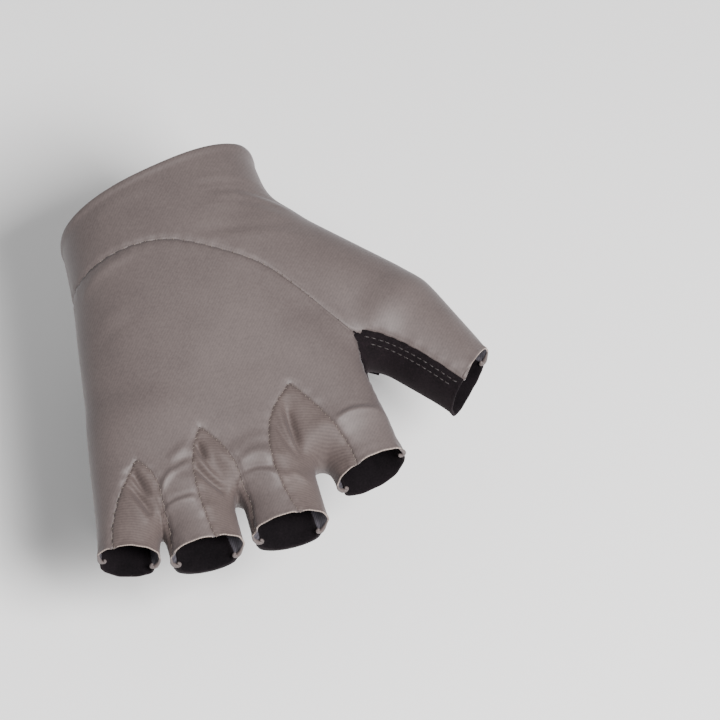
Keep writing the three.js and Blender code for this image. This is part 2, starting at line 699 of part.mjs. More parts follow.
// The pieces: name, faces, wall, how far the outer face lies above the skin, material
const layerLift = seamGap + patchWall;
const wristTab = wristTabGrid();
const pieces = [
  ["back_panel", [
    ...facesOf(handAt, seamRows, handRows, 0, littleSide),
    ...fingers.flatMap((finger) => stripFaces(finger.back)),
  ], upperWall, 0, upperMaterial],
  // The ring round the wrist, the back up to the curved seam and the thumb's outer side
  ["cuff_and_thumb_panel", [
    ...facesOf(handAt, 0, seamRows, 0, littleSide),
    ...facesOf(handAt, 0, bandRow, littleSide, palmEnd),
    ...facesOf(handAt, 0, thumbTopRow, palmEnd, columns),
    ...facesOf(thumbAt, 0, thumbRows, innerColumns, thumbRim.length),
  ], upperWall, 0, upperMaterial],
  // The palm with the fingers' palm sides and the thumb's inner side
  ["palm_panel", [
    ...facesOf(handAt, bandRow, handRows, littleSide, palmEnd),
    ...facesOf(handAt, seamRows, handRows, palmEnd, columns),
    ...fingers.flatMap((finger) => stripFaces(finger.palm)),
    ...facesOf(thumbAt, 0, thumbRows, 0, innerColumns),
  ], palmWall, 0, palmMaterial],
  ...["index_middle", "middle_ring", "ring_little"].map((pair, i) =>
    [`gusset_${pair}`, facesOf(gridOf(gussets[i]), 0, 2 * fingerRows, 0, gussetColumns),
      gussetWall, 0, upperMaterial]),
  ["wrist_tab", facesOf(gridOf(wristTab), 0, wristTab.length - 1, 0, wristTabColumns),
    wristTabWall, 0, webbingMaterial],
  // Layers sewn onto the palm: a patch over the thumb's web and a ribbed tab on two hems
  ["thumb_web_patch", [
    ...facesOf(handAt, webPatch.firstRow, webPatch.lastRow, webPatch.firstColumn, palmEnd),
    ...facesOf(thumbAt, 0, webPatch.thumbRows, sideColumns, sideColumns + seamRows - webPatch.firstRow),
  ], patchWall, layerLift, palmMaterial],
  ...fingers.slice(1, 3).map((finger) =>
    [`${finger.name}_finger_tab`,
      facesOf(gridOf(finger.palm), fingerRows - hemRows, fingerRows, 0, stripColumns),
      patchWall, layerLift, webbingMaterial]),
];
settleNormals(pieces.filter(([, , , lift]) => lift === 0).flatMap(([, faces]) => faces));

const mitt = new THREE.Group();
mitt.name = "cycling_mitt";
for (const [name, faces, wall, lift, ownMaterial] of pieces) {
  const mesh = new THREE.Mesh(shellGeometry(faces, wall, lift), ownMaterial);
  mesh.name = name;
  mitt.add(mesh);
}

export default mitt;
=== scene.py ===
# A right-hand cycling mitt, filled out as a hand fills it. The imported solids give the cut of
# each piece. Here each skin is refined, laid on the smooth form of the hand and given its
# hems, puckers, stitches and cloth.
import math
import bmesh
import bpy
import numpy as np
from functools import reduce
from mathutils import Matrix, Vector
from mathutils.kdtree import KDTree


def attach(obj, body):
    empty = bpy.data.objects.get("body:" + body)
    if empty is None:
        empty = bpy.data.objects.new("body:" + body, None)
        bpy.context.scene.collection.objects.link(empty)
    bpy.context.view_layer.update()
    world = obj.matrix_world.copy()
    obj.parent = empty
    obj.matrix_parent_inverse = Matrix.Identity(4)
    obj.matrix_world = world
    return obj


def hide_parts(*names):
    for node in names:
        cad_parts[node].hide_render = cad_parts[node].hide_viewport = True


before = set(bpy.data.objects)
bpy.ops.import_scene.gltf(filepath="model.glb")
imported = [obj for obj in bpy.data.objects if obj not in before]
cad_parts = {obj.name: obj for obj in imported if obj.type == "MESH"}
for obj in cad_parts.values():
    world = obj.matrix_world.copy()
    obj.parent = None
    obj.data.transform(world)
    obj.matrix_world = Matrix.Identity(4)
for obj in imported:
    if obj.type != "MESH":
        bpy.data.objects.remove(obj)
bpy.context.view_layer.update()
mm = 0.001

# The form of the hand in millimetres, the same as under the solids
hand = {
    "length": 133.0,  # wrist opening to the ring finger's hem
    "wristWidth": 68.6,
    "wristDepth": 46.0,
    "palmWidth": 93.6,
    "knuckleDepth": 27.0,
    "squareness": 2.35,  # exponent of the oval sections
    # along, sideways, wide, deep, rise
    "sections": np.array([
        (-0.12, 0.0, -0.02, 0.0, 0.0),
        (0.0, 0.0, 0.0, 0.0, 0.0),
        (0.225, 0.008, 0.24, 0.19, 0.0),
        (0.375, 0.012, 0.52, 0.37, 0.0),
        (0.525, 0.018, 0.8, 0.6, -0.02),
        (0.707, 0.009, 1.0, 0.97, -0.07),
        (0.82, 0.005, 1.04, 1.28, -0.13),
        (0.95, 0.0, 1.0, 1.75, -0.2),
    ]),
    "endAlong": 0.862,  # where the palm stops between the fingers
    "endSlope": 0.21,
    "endBlend": 6.0,
}
fingers = {
    "tubeLength": 50.0,
    "droop": 6.0,
    "outerEdge": -0.566,  # outer side of the little finger's hem, as a share of the palm's width
    # width, depth, gap to the next hem, reach, splay in degrees, from the thumb's side
    "each": [
        (24.8, 21.5, 6.2, 0.872, 13.0),
        (25.2, 21.5, 3.4, 0.985, 0.0),
        (24.4, 21.0, 2.8, 1.0, -1.0),
        (20.0, 19.0, 0.0, 0.972, -14.0),
    ],
    "rootBlend": 9.0,
    "hemBlend": 1.0,
    "freeFrom": 0.78,
    "freeTo": 0.9,
    "knuckleBlend": 7.0,
}
thumb = {
    # across, along and rise of the root, the knuckle and the hem
    "joints": [(0.278, 0.226, -0.07), (0.668, 0.458, -0.15), (0.868, 0.675, -0.26)],
    "widths": (42.0, 35.2, 23.6),
    "depths": (35.0, 28.0, 21.5),
    "lap": 2.0,  # how far both runs reach past the knuckle
    "jointBlend": 8.0,
    "rootBlend": 10.0,
}


def smoothStep(value, low, high):
    t = np.clip((value - low) / (high - low), 0, 1)
    return t * t * (3 - 2 * t)


def readSmooth(table, column, at):
    keys, values = table[:, 0], table[:, column]
    i = np.clip(np.searchsorted(keys, at) - 1, 0, len(keys) - 2)
    before, after = np.maximum(i - 1, 0), np.minimum(i + 2, len(keys) - 1)
    span = keys[i + 1] - keys[i]
    t = np.clip((at - keys[i]) / span, 0, 1)
    startSlope = (values[i + 1] - values[before]) / (keys[i + 1] - keys[before]) * span
    endSlope = (values[after] - values[i]) / (keys[after] - keys[i]) * span
    ease = t * t * (3 - 2 * t)
    return (values[i] + (values[i + 1] - values[i]) * ease
            + (t ** 3 - 2 * t ** 2 + t) * startSlope + (t ** 3 - t ** 2) * endSlope)


def ovalDistance(u, v, halfU, halfV, power):
    a = np.maximum(np.abs(u) / halfU, 1e-6)
    b = np.maximum(np.abs(v) / halfV, 1e-6)
    size = (a ** power + b ** power) ** (1 / power)
    slope = np.hypot((a / size) ** (power - 1) / halfU, (b / size) ** (power - 1) / halfV)
    return (size - 1) / slope


def softJoin(a, b, blend):
    share = np.maximum(blend - np.abs(a - b), 0) / blend
    return np.minimum(a, b) - share * share * blend / 4


def softTrim(a, b, blend):
    return -softJoin(-a, -b, blend)


def unit(vectors):
    return vectors / np.maximum(np.linalg.norm(vectors, axis=-1, keepdims=True), 1e-9)


def handPlace(across, along, rise):
    return np.array(
        [across * hand["palmWidth"], -along * hand["length"], rise * hand["knuckleDepth"]])


def makeTube(start, end):
    axis = unit(end - start)
    across = unit(np.cross([0.0, 0.0, 1.0], axis))
    return {"start": start, "end": end, "length": np.linalg.norm(end - start), "axis": axis,
            "across": across, "up": np.cross(axis, across)}


def tubeDistance(places, tube, widths, depths, lap=0.0):
    offset = places - tube["start"]
    reach = offset @ tube["axis"]
    share = np.clip(reach / tube["length"], 0, 1.3)
    halfWidth = (widths[0] + (widths[1] - widths[0]) * share) / 2
    halfDepth = (depths[0] + (depths[1] - depths[0]) * share) / 2
    side = ovalDistance(offset @ tube["across"], offset @ tube["up"], halfWidth, halfDepth, 2)
    return softTrim(side, -reach - lap, thumb["jointBlend"]), reach - tube["length"] - lap


def makeFingerTubes():
    tubes = []
    edge = fingers["outerEdge"] * hand["palmWidth"] + sum(f[0] + f[2] for f in fingers["each"])
    for width, depth, gap, reach, splay in fingers["each"]:
        turn = math.radians(splay)
        hem = np.array([edge - width / 2, -reach * hand["length"], -fingers["droop"]])
        root = np.array([hem[0] - fingers["tubeLength"] * math.sin(turn),
                         hem[1] + fingers["tubeLength"] * math.cos(turn), 0.0])
        tubes.append(makeTube(root, hem))
        edge -= width + gap
    return tubes


fingerTubes = makeFingerTubes()
thumbHeel = makeTube(handPlace(*thumb["joints"][0]), handPlace(*thumb["joints"][1]))
thumbTip = makeTube(handPlace(*thumb["joints"][1]), handPlace(*thumb["joints"][2]))


def handDistance(places):
    x, y, z = places.T

    def read(column):
        return readSmooth(hand["sections"], column, -y / hand["length"])

    halfWidth = (hand["wristWidth"] + (hand["palmWidth"] - hand["wristWidth"]) * read(2)) / 2
    halfDepth = (hand["wristDepth"] + (hand["knuckleDepth"] - hand["wristDepth"]) * read(3)) / 2
    side = ovalDistance(x - read(1) * hand["palmWidth"], z - read(4) * hand["knuckleDepth"],
                        halfWidth, halfDepth, hand["squareness"])
    past = -y - hand["endAlong"] * hand["length"] + hand["endSlope"] * x
    return softTrim(side, past / math.hypot(1, hand["endSlope"]), hand["endBlend"])


def thumbDistance(places):
    widths, depths, blend = thumb["widths"], thumb["depths"], thumb["jointBlend"]
    heel, past = tubeDistance(places, thumbHeel, widths[:2], depths[:2], thumb["lap"])
    tip, _ = tubeDistance(places, thumbTip, widths[1:], depths[1:], thumb["lap"])
    return softJoin(softTrim(heel, past, blend), tip, blend)


def formDistance(places):  # negative inside the hand's form, zero on its skin
    free = smoothStep(-places[:, 1] / hand["length"], fingers["freeFrom"], fingers["freeTo"])
    blend = fingers["rootBlend"] + (fingers["hemBlend"] - fingers["rootBlend"]) * free
    each = [tubeDistance(places, tube, (row[0], row[0]), (row[1], row[1]))[0]
            for tube, row in zip(fingerTubes, fingers["each"])]
    allFingers = reduce(lambda a, b: softJoin(a, b, blend), each)
    palm = softJoin(handDistance(places), allFingers, fingers["knuckleBlend"])
    return softJoin(palm, thumbDistance(places), thumb["rootBlend"])


def formNormal(places, step=0.05):
    corners = np.array([(1, 1, 1), (1, -1, -1), (-1, 1, -1), (-1, -1, 1)], float)
    return unit(sum(c * formDistance(places + c * step)[:, None] for c in corners))


def settle(places, rounds=3):  # moves points onto the form
    for _ in range(rounds):
        places = places - formNormal(places) * formDistance(places)[:, None]
    return places


# Broad folds and dents, also in the solids: side 1 is the back and -1 the palm, then the line's
# ends as shares of the palm's width and the hand's length, then its half width and height as
# shares of the knuckles' depth
broadFolds = [
    (1, -0.345, 0.8, -0.19, 0.865, 0.15, 0.05),
    (1, -0.335, 0.865, -0.17, 0.93, 0.13, 0.045),
    (1, -0.1, 0.8, 0.14, 0.85, 0.15, 0.05),
    (1, -0.06, 0.88, 0.18, 0.9, 0.13, 0.04),
    (1, 0.3, 0.78, 0.5, 0.76, 0.13, 0.04),
    (1, -0.1, 0.45, 0.1, 0.62, 0.9, -0.04),
    (-1, -0.12, 0.42, 0.02, 0.68, 0.85, -0.11),
    (-1, 0.27, 0.28, 0.4, 0.5, 0.2, -0.07),
    (-1, 0.15, 0.3, 0.26, 0.52, 0.22, 0.05),
]
foldFacing = (0.1, 0.6)  # a fold fades out where the form turns away from its side


def foldHeight(places, normals, folds):
    height = np.zeros(len(places))
    scale = np.array([hand["palmWidth"], -hand["length"]])
    for side, x0, y0, x1, y1, width, rise in folds:
        start = np.array([x0, y0]) * scale
        run = np.array([x1, y1]) * scale - start
        offset = places[:, :2] - start
        share = np.clip(offset @ run / (run @ run), 0, 1)
        away = np.linalg.norm(offset - share[:, None] * run, axis=1)
        away = away / (width * hand["knuckleDepth"])
        facing = smoothStep(normals[:, 2] * side, *foldFacing)
        height += rise * hand["knuckleDepth"] * np.exp(-away ** 2) * facing
    return height


# Skins: triangles of one side of a solid, refined and laid on the form

def readSolid(node):  # a solid's triangles, with the corners that share a place made one
    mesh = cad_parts[node].data
    mesh.calc_loop_triangles()
    points = np.empty(len(mesh.vertices) * 3)
    mesh.vertices.foreach_get("co", points)
    triangles = np.empty(len(mesh.loop_triangles) * 3, int)
    mesh.loop_triangles.foreach_get("vertices", triangles)
    places, number = np.unique(np.round(points.reshape(-1, 3) / mm, 3), axis=0, return_inverse=True)
    return places, number.reshape(-1)[triangles.reshape(-1, 3)]


def readSkin(node, lift, wall):
    places, triangles = readSolid(node)
    height = formDistance(places) - foldHeight(places, formNormal(places), broadFolds)
    outer = height > lift - wall / 2
    triangles = triangles[outer[triangles].all(axis=1)]
    used, triangles = np.unique(triangles, return_inverse=True)
    return places[used], triangles.reshape(-1, 3)


def sidesOf(triangles):
    return np.concatenate([triangles[:, [0, 1]], triangles[:, [1, 2]], triangles[:, [2, 0]]])


def edgesOf(triangles):
    pairs = sidesOf(triangles)
    edges, number, count = np.unique(
        np.sort(pairs, axis=1), axis=0, return_inverse=True, return_counts=True)
    return edges, number.reshape(3, -1).T, count


def borderLoops(triangles):  # border corners in order, with the skin on the left
    pairs = sidesOf(triangles)
    known = set(map(tuple, pairs))
    following = {a: b for a, b in map(tuple, pairs) if (b, a) not in known}
    loops = []
    while following:
        start, at = following.popitem()
        loop = [start]
        while at != start:
            loop.append(at)
            at = following.pop(at)
        loops.append(np.array(loop))
    return loops


def findCorners(places, loops, leastTurn=50):
    corners = np.zeros(len(places), bool)
    for loop in loops:
        before = unit(places[loop] - places[np.roll(loop, 1)])
        after = unit(places[np.roll(loop, -1)] - places[loop])
        turn = np.degrees(np.arccos(np.clip((before * after).sum(axis=1), -1, 1)))
        corners[loop[turn > leastTurn]] = True
    return corners


def relax(places, triangles, rounds, share=0.6):  # evens out a skin's triangles
    edges, _, count = edgesOf(triangles)
    inner = np.ones(len(places), bool)
    inner[edges[count == 1]] = False
    degree = np.bincount(edges.ravel(), minlength=len(places))[:, None]
    for _ in range(rounds):
        total = np.zeros_like(places)
        np.add.at(total, edges[:, 0], places[edges[:, 1]])
        np.add.at(total, edges[:, 1], places[edges[:, 0]])
        moved = places + share * (total / degree - places)
        places[inner] = settle(moved[inner], 1)
    return places


def refine(places, triangles, corners):
    # Each triangle becomes four. Border midpoints lie on a smooth curve through the border.
    edges, number, count = edgesOf(triangles)
    middle = places[edges].mean(axis=1)
    onBorder = {tuple(edge): i for i, edge in enumerate(edges) if count[i] == 1}
    for loop in borderLoops(triangles):
        far, next1, next2 = np.roll(loop, 1), np.roll(loop, -1), np.roll(loop, -2)
        for z, a, b, c in zip(far, loop, next1, next2):
            i = onBorder[(min(a, b), max(a, b))]
            if corners[a] and corners[b]:
                continue
            if corners[a]:
                middle[i] = 0.375 * places[a] + 0.75 * places[b] - 0.125 * places[c]
            elif corners[b]:
                middle[i] = 0.375 * places[b] + 0.75 * places[a] - 0.125 * places[z]
            else:
                middle[i] = (9 * (places[a] + places[b]) - places[z] - places[c]) / 16
    number = number + len(places)
    a, b, c = triangles.T
    ab, bc, ca = number.T
    finer = np.concatenate([np.stack(t, axis=1) for t in
                            ((a, ab, ca), (ab, b, bc), (ca, bc, c), (ab, bc, ca))])
    return (np.concatenate([places, middle]), finer,
            np.concatenate([corners, np.zeros(len(middle), bool)]))


def makeSkin(node, lift, wall, rounds, evening=12):
    places, triangles = readSkin(node, lift, wall)
    places = settle(places, 4)
    corners = findCorners(places, borderLoops(triangles))
    places = relax(places, triangles, evening)
    for _ in range(rounds):
        places, triangles, corners = refine(places, triangles, corners)
        places = settle(places, 2)
        places = relax(places, triangles, 3)
    print(f"{node}: {len(triangles)} triangles in its skin")
    return {"places": places, "triangles": triangles, "wall": wall, "lift": lift,
            "loops": borderLoops(triangles)}


gussets = ("gusset_index_middle", "gusset_middle_ring", "gusset_ring_little")
skinPieces = {  # lift of the outer side, wall and rounds of refining
    "back_panel": (0.0, 1.0, 3),
    "cuff_and_thumb_panel": (0.0, 1.0, 3),
    "palm_panel": (0.0, 1.2, 3),
    **{node: (0.0, 0.9, 3) for node in gussets},
    "thumb_web_patch": (1.2, 0.9, 3),
    "middle_finger_tab": (1.2, 0.9, 5),
    "ring_finger_tab": (1.2, 0.9, 5),
}
skins = {node: makeSkin(node, *sizes) for node, sizes in skinPieces.items()}


# Borders: beside each border point lies another piece, or nothing where it is a hem

def makeTree(points):
    tree = KDTree(len(points))
    for i, point in enumerate(points):
        tree.insert(point, i)
    tree.balance()
    return tree


def farFrom(tree, places):
    return np.array([tree.find(place)[2] for place in places])


sewnWithin = 1.4  # pieces whose borders lie closer than this are sewn together


def markBorders():
    points, owners = [], []
    for node, skin in skins.items():
        for loop in skin["loops"]:
            if skin["lift"] == 0:
                points += skin["places"][loop].tolist()
                owners += [node] * len(loop)
    tree = makeTree(points)
    for node, skin in skins.items():
        skin["beside"] = []
        for loop in skin["loops"]:
            names = []
            for place in skin["places"][loop]:
                near = [(far, owners[i]) for _, i, far in tree.find_range(place, sewnWithin)
                        if owners[i] != node and skin["lift"] == 0]
                names.append(min(near)[1] if near else "")
            skin["beside"].append(np.array(names))


markBorders()
flatSkins = [skin for skin in skins.values() if skin["lift"] == 0]


def borderPoints(sewn):
    return np.concatenate([skin["places"][loop[(names != "") == sewn]] for skin in flatSkins
                           for loop, names in zip(skin["loops"], skin["beside"])])


seamTree, hemTree = makeTree(borderPoints(True)), makeTree(borderPoints(False))
print(f"borders: {len(borderPoints(True))} sewn points, {len(borderPoints(False))} hem points")


# Wrinkles: side (1 back, -1 palm), three points that the line passes through in millimetres seen
# from above, half width and height. Ridges are positive and creases negative.
wrinkles = [
    (1, (-36.5, -104.0), (-34.8, -112.0), (-33.0, -121.0), 2.6, -1.1),  # each gusset folds inwards
    (1, (-13.5, -100.0), (-10.5, -109.0), (-6.5, -119.5), 2.8, -1.3),
    (1, (18.5, -92.0), (18.8, -102.0), (19.6, -113.0), 3.0, -1.1),
    (1, (-23.5, -105.5), (-18.8, -103.0), (-13.9, -101.3), 1.3, 0.45),  # ring finger's root
    (1, (-28.4, -116.0), (-24.5, -110.4), (-16.0, -107.7), 1.2, 0.6),
    (1, (-23.0, -108.8), (-19.8, -107.0), (-15.3, -105.3), 0.9, -0.35),
    (1, (-29.5, -121.4), (-25.3, -119.9), (-17.9, -120.1), 0.9, 0.5),  # above its hem
    (1, (-27.0, -118.4), (-22.5, -118.3), (-18.1, -118.3), 0.9, -0.3),
    (1, (-35.5, -105.9), (-34.2, -109.8), (-32.5, -114.8), 1.1, -1.1),  # gusset by the little finger
    (1, (-39.9, -108.2), (-35.8, -113.4), (-32.7, -120.7), 1.1, -0.8),
    (1, (-38.1, -106.6), (-35.2, -111.0), (-33.0, -116.8), 1.2, 0.5),
    (1, (-41.4, -111.4), (-37.5, -117.0), (-34.4, -123.3), 1.6, 0.5),
    (1, (-13.1, -100.8), (-12.5, -103.7), (-11.8, -107.3), 0.9, -1.3),  # gusset by the ring finger
    (1, (-16.2, -108.7), (-12.2, -114.0), (-7.3, -118.4), 1.4, -1.6),
    (1, (-14.9, -102.6), (-12.5, -110.1), (-7.5, -116.5), 1.3, 0.7),
    (1, (-9.7, -102.1), (-10.2, -107.6), (-8.1, -113.9), 1.0, 0.3),
    (1, (-4.6, -117.3), (2.5, -114.9), (12.5, -120.7), 1.1, 0.6),  # middle finger, above its hem
    (1, (-1.7, -115.4), (4.8, -113.8), (13.2, -117.8), 1.0, -0.35),
    (1, (-3.3, -113.6), (4.7, -109.1), (13.9, -114.1), 1.6, 0.4),
    (1, (-2.6, -108.6), (5.0, -104.3), (13.3, -107.6), 1.8, 0.25),
    (1, (13.9, -117.9), (16.0, -120.2), (18.5, -122.1), 1.1, 0.35),
    (1, (18.6, -96.3), (19.1, -103.4), (19.6, -111.6), 1.1, -1.5),  # gusset by the index finger
    (1, (17.3, -91.1), (15.7, -100.9), (18.6, -111.8), 1.4, 0.7),
    (1, (14.2, -97.8), (14.6, -105.0), (18.0, -112.7), 0.9, -0.5),
    (1, (12.4, -101.8), (12.6, -107.5), (16.2, -114.4), 1.1, 0.35),
    (1, (32.8, -104.3), (38.0, -101.5), (46.8, -101.4), 1.0, 0.55),  # index finger, above its hem
    (1, (33.3, -102.4), (38.6, -99.3), (46.1, -99.2), 1.0, -0.25),
    (1, (8.6, -8.5), (23.0, -8.1), (33.0, -8.7), 1.6, 0.12),  # wrist, towards the thumb
    (1, (9.7, -10.7), (23.7, -10.5), (34.0, -12.4), 1.2, -0.12),
    (1, (15.1, -15.9), (28.4, -16.7), (39.7, -21.6), 1.5, 0.24),
    (1, (12.2, -13.9), (25.9, -13.5), (38.1, -17.3), 1.1, -0.2),
    (1, (9.2, -19.0), (24.0, -20.5), (36.3, -25.6), 1.8, 0.14),
    (1, (5.1, -28.0), (21.9, -28.6), (40.5, -28.8), 2.0, -0.16),
    (1, (5.9, -31.3), (22.6, -32.2), (40.9, -33.6), 2.0, 0.14),
    (1, (-24.9, -13.0), (-15.3, -9.1), (-1.2, -7.0), 3.0, 0.2),
    (1, (-34.9, -36.7), (-26.9, -32.0), (-15.9, -30.3), 1.6, 0.4),  # under the curved seam
    (1, (-34.1, -51.1), (-28.7, -49.0), (-23.0, -48.0), 1.2, 0.18),
    (1, (-36.6, -58.1), (-28.3, -54.9), (-19.5, -52.6), 1.5, -0.15),
    (-1, (22.0, -60.0), (30.0, -66.0), (41.0, -68.0), 1.8, -0.4),  # palm, under the thumb's web
    (-1, (20.0, -50.0), (30.0, -57.0), (42.0, -62.0), 1.6, 0.35),
    (-1, (-4.0, -104.0), (4.0, -106.5), (12.0, -105.0), 1.4, -0.3),  # palm, under the fingers
    (-1, (-27.0, -107.0), (-20.0, -109.5), (-13.0, -107.5), 1.4, -0.3),
    (-1, (-30.0, -40.0), (-22.0, -52.0), (-20.0, -66.0), 2.4, -0.35),
    (-1, (-36.0, -46.0), (-29.0, -60.0), (-28.0, -76.0), 2.2, 0.3),
]


wrinkleFacing = (-0.3, 0.2)


# From above the back or below the palm straight onto the form
def dropOnForm(points, side, startHeight=45.0, rounds=60, share=0.9):
    places = np.column_stack([points, np.full(len(points), startHeight * side)])
    for _ in range(rounds):
        places[:, 2] -= side * share * np.clip(formDistance(places), -1, 10)
    return places


def wrinkleHeight(places, normals, pointsEach=13):
    height = np.zeros(len(places))
    share = np.linspace(0, 1, pointsEach)[:, None]
    for side, start, middle, end, width, rise in wrinkles:
        start, middle, end = (np.array(point) for point in (start, middle, end))
        control = 2 * middle - (start + end) / 2
        curve = (1 - share) ** 2 * start + 2 * share * (1 - share) * control + share ** 2 * end
        curve = dropOnForm(curve, side)
        reach = 3 * width  # a wrinkle is flat from there on
        near = np.where(((places > curve.min(axis=0) - reach)
                         & (places < curve.max(axis=0) + reach)).all(axis=1))[0]
        if len(near) == 0:
            continue
        steps = np.diff(curve, axis=0)
        offset = places[near, None] - curve[None, :-1]
        along = np.clip((offset * steps).sum(axis=2) / (steps * steps).sum(axis=1), 0, 1)
        far = np.linalg.norm(offset - along[..., None] * steps, axis=2)
        nearest = far.argmin(axis=1)
        far = far[np.arange(len(near)), nearest]
        at = (nearest + along[np.arange(len(near)), nearest]) / len(steps)
        taper = np.sqrt(np.clip(4 * at * (1 - at), 0, 1))
        facing = smoothStep(normals[near, 2] * side, *wrinkleFacing)
        height[near] += drape["wrinkles"] * rise * taper * facing * np.exp(-(far / width) ** 2)
    return height


drape = {
    "wrinkles": 1.5,  # all wrinkles' heights are multiplied by this
    "tongue": 1.3,  # the palm's hems stand further out in the middle than at the seams
    "tongueDrop": 0.8,
    "tongueReach": 4.0,
    "tongueFacing": (0.15, 0.95),  # how far a place faces the palm's side
    "fingersFrom": (85.0, 100.0),  # distance from the wrist where the fingers begin
    "rimRoll": 0.35,  # the wrist's folded rim
    "rimRollAt": 1.3,
    "rimRollWidth": 1.0,
    "rimWithin": 25.0,  # distance from the wrist that the rim lies within
    "seamDip": 0.42,  # how deep the cloth is drawn in along a seam
    "seamDipWidth": 1.1,
    "pucker": 0.08,
    "puckerPitch": 4.4,
    "puckerReach": 3.0,
    "hemFlare": 0.25,  # how far a cut edge stands out
    "hemFlareWidth": 0.9,
    "hemWave": 0.13,
    "hemWavePitch": 6.1,
    "hemWaveReach": 3.2,
    "hemWaveFrom": (25.0, 40.0),  # the wrist's rim is folded under and stays even
    "gapLeft": 0.08,  # half the gap that stays between sewn pieces
    "gapInSolids": 0.3,
}


def alongBorder(skin, sewn):  # border places of one kind and how far along the border each lies
    places, lengths = [], []
    for loop, names in zip(skin["loops"], skin["beside"]):
        run = skin["places"][loop]
        length = np.cumsum(np.linalg.norm(run - np.roll(run, 1, axis=0), axis=1))
        chosen = (names != "") == sewn
        places.append(run[chosen])
        lengths.append(length[chosen])
    return np.concatenate(places), np.concatenate(lengths)


def waveBeside(skin, sewn, pitch, reach):
    points, lengths = alongBorder(skin, sewn)
    if len(points) == 0:
        return np.zeros(len(skin["places"]))
    found = list(map(makeTree(points).find, skin["places"]))
    at = lengths[[index for _, index, _ in found]]
    far = np.array([distance for _, _, distance in found])
    turns = 2 * np.pi * at / pitch  # two waves of unlike length, so that it isn't even
    wave = np.sin(turns + 1.4 * np.sin(at / 9.0)) + 0.5 * np.sin(turns / 1.7)
    return wave * np.exp(-(far / reach) ** 2)


def drapeSkin(skin):
    places = skin["places"].copy()
    for loop, names in zip(skin["loops"], skin["beside"]):  # sewn edges are drawn together
        sewn = names != ""
        normals = formNormal(places[loop])
        forward = unit(places[np.roll(loop, -1)] - places[np.roll(loop, 1)])
        outward = unit(np.cross(forward, normals))
        shift = (drape["gapInSolids"] - drape["gapLeft"]) * sewn[:, None]
        places[loop] += outward * shift
    normals = formNormal(places)
    seamFar, hemFar = farFrom(seamTree, places), farFrom(hemTree, places)
    height = skin["lift"] + foldHeight(places, normals, broadFolds) + wrinkleHeight(places, normals)
    height -= drape["seamDip"] * np.exp(-(seamFar / drape["seamDipWidth"]) ** 2)
    if skin["lift"] == 0:
        rimFar = (hemFar - drape["rimRollAt"]) / drape["rimRollWidth"]
        cut = smoothStep(-places[:, 1], *drape["hemWaveFrom"])
        height += drape["hemFlare"] * np.exp(-(hemFar / drape["hemFlareWidth"]) ** 2)
        height += drape["rimRoll"] * np.exp(-rimFar ** 2) * (places[:, 1] > -drape["rimWithin"])
        height += drape["pucker"] * waveBeside(
            skin, True, drape["puckerPitch"], drape["puckerReach"])
        height += drape["hemWave"] * cut * waveBeside(
            skin, False, drape["hemWavePitch"], drape["hemWaveReach"])
    under = smoothStep(-normals[:, 2], *drape["tongueFacing"])
    under *= np.exp(-hemFar / drape["tongueReach"])
    under *= smoothStep(-places[:, 1], *drape["fingersFrom"])
    skin["normals"] = normals
    skin["draped"] = (places + normals * (height + drape["tongueDrop"] * under)[:, None]
                      + np.outer(under, [0.0, -drape["tongue"], 0.0]))


for skin in skins.values():
    drapeSkin(skin)
print("draped: folds, wrinkles, drawn-in seams and flared hems")


# Materials

def linear(hexTone):  # an sRGB hex value as linear red, green, blue and alpha
    parts = [int(hexTone[i:i + 2], 16) / 255 for i in (0, 2, 4)]
    parts = [part / 12.92 if part <= 0.04045 else ((part + 0.055) / 1.055) ** 2.4 for part in parts]
    return parts + [1.0]


def addNode(tree, kind, links=None, **settings):
    node = tree.nodes.new(kind)
    for name, value in settings.items():
        setattr(node, name, value)
    for socket, value in (links or {}).items():
        if isinstance(value, bpy.types.NodeSocket):
            tree.links.new(value, node.inputs[socket])
        else:
            node.inputs[socket].default_value = value
    return node


def startMaterial(name, look):
    material = bpy.data.materials.new(name)
    material.use_nodes = True
    tree = material.node_tree
    shader = tree.nodes["Principled BSDF"]
    for socket, key in (("Roughness", "roughness"), ("IOR", "ior"),
                        ("Specular IOR Level", "specular"), ("Sheen Weight", "sheen"),
                        ("Sheen Roughness", "sheenRoughness")):
        shader.inputs[socket].default_value = look[key]
    shader.inputs["Sheen Tint"].default_value = linear(look["sheenTone"])
    place = addNode(tree, "ShaderNodeTexCoord").outputs["Object"]
    return material, tree, shader, place


def inMillimetres(tree, place, turn=0.0):  # place in millimetres, turned about Z by some degrees
    return addNode(tree, "ShaderNodeMapping", {
        "Vector": place, "Scale": (1000, 1000, 1000), "Rotation": (0, 0, math.radians(turn)),
    }).outputs["Vector"]


def bandScale(pitch):  # a wave texture repeats every 2 pi / 20 at scale 1
    return 2 * math.pi / 20 / pitch


def paint(tree, shader, factor, look):  # from the look's dark tone to its light one
    ramp = addNode(tree, "ShaderNodeValToRGB", {"Fac": factor})
    for element, position, tone in zip(ramp.color_ramp.elements, look["ramp"], ("dark", "light")):
        element.position, element.color = position, linear(look[tone])
    tree.links.new(ramp.outputs["Color"], shader.inputs["Base Color"])
    return ramp.outputs["Color"]


def emboss(tree, shader, height, look):  # the look's depth is in millimetres
    bump = addNode(tree, "ShaderNodeBump", {
        "Height": height, "Distance": look["depth"] * mm, "Strength": look["strength"]})
    tree.links.new(bump.outputs["Normal"], shader.inputs["Normal"])


def addUp(tree, first, second, firstShare, secondShare):
    scaled = addNode(tree, "ShaderNodeMath", {0: first, 1: firstShare}, operation="MULTIPLY")
    return addNode(tree, "ShaderNodeMath", {0: second, 1: secondShare, 2: scaled.outputs[0]},
                   operation="MULTIPLY_ADD").outputs[0]


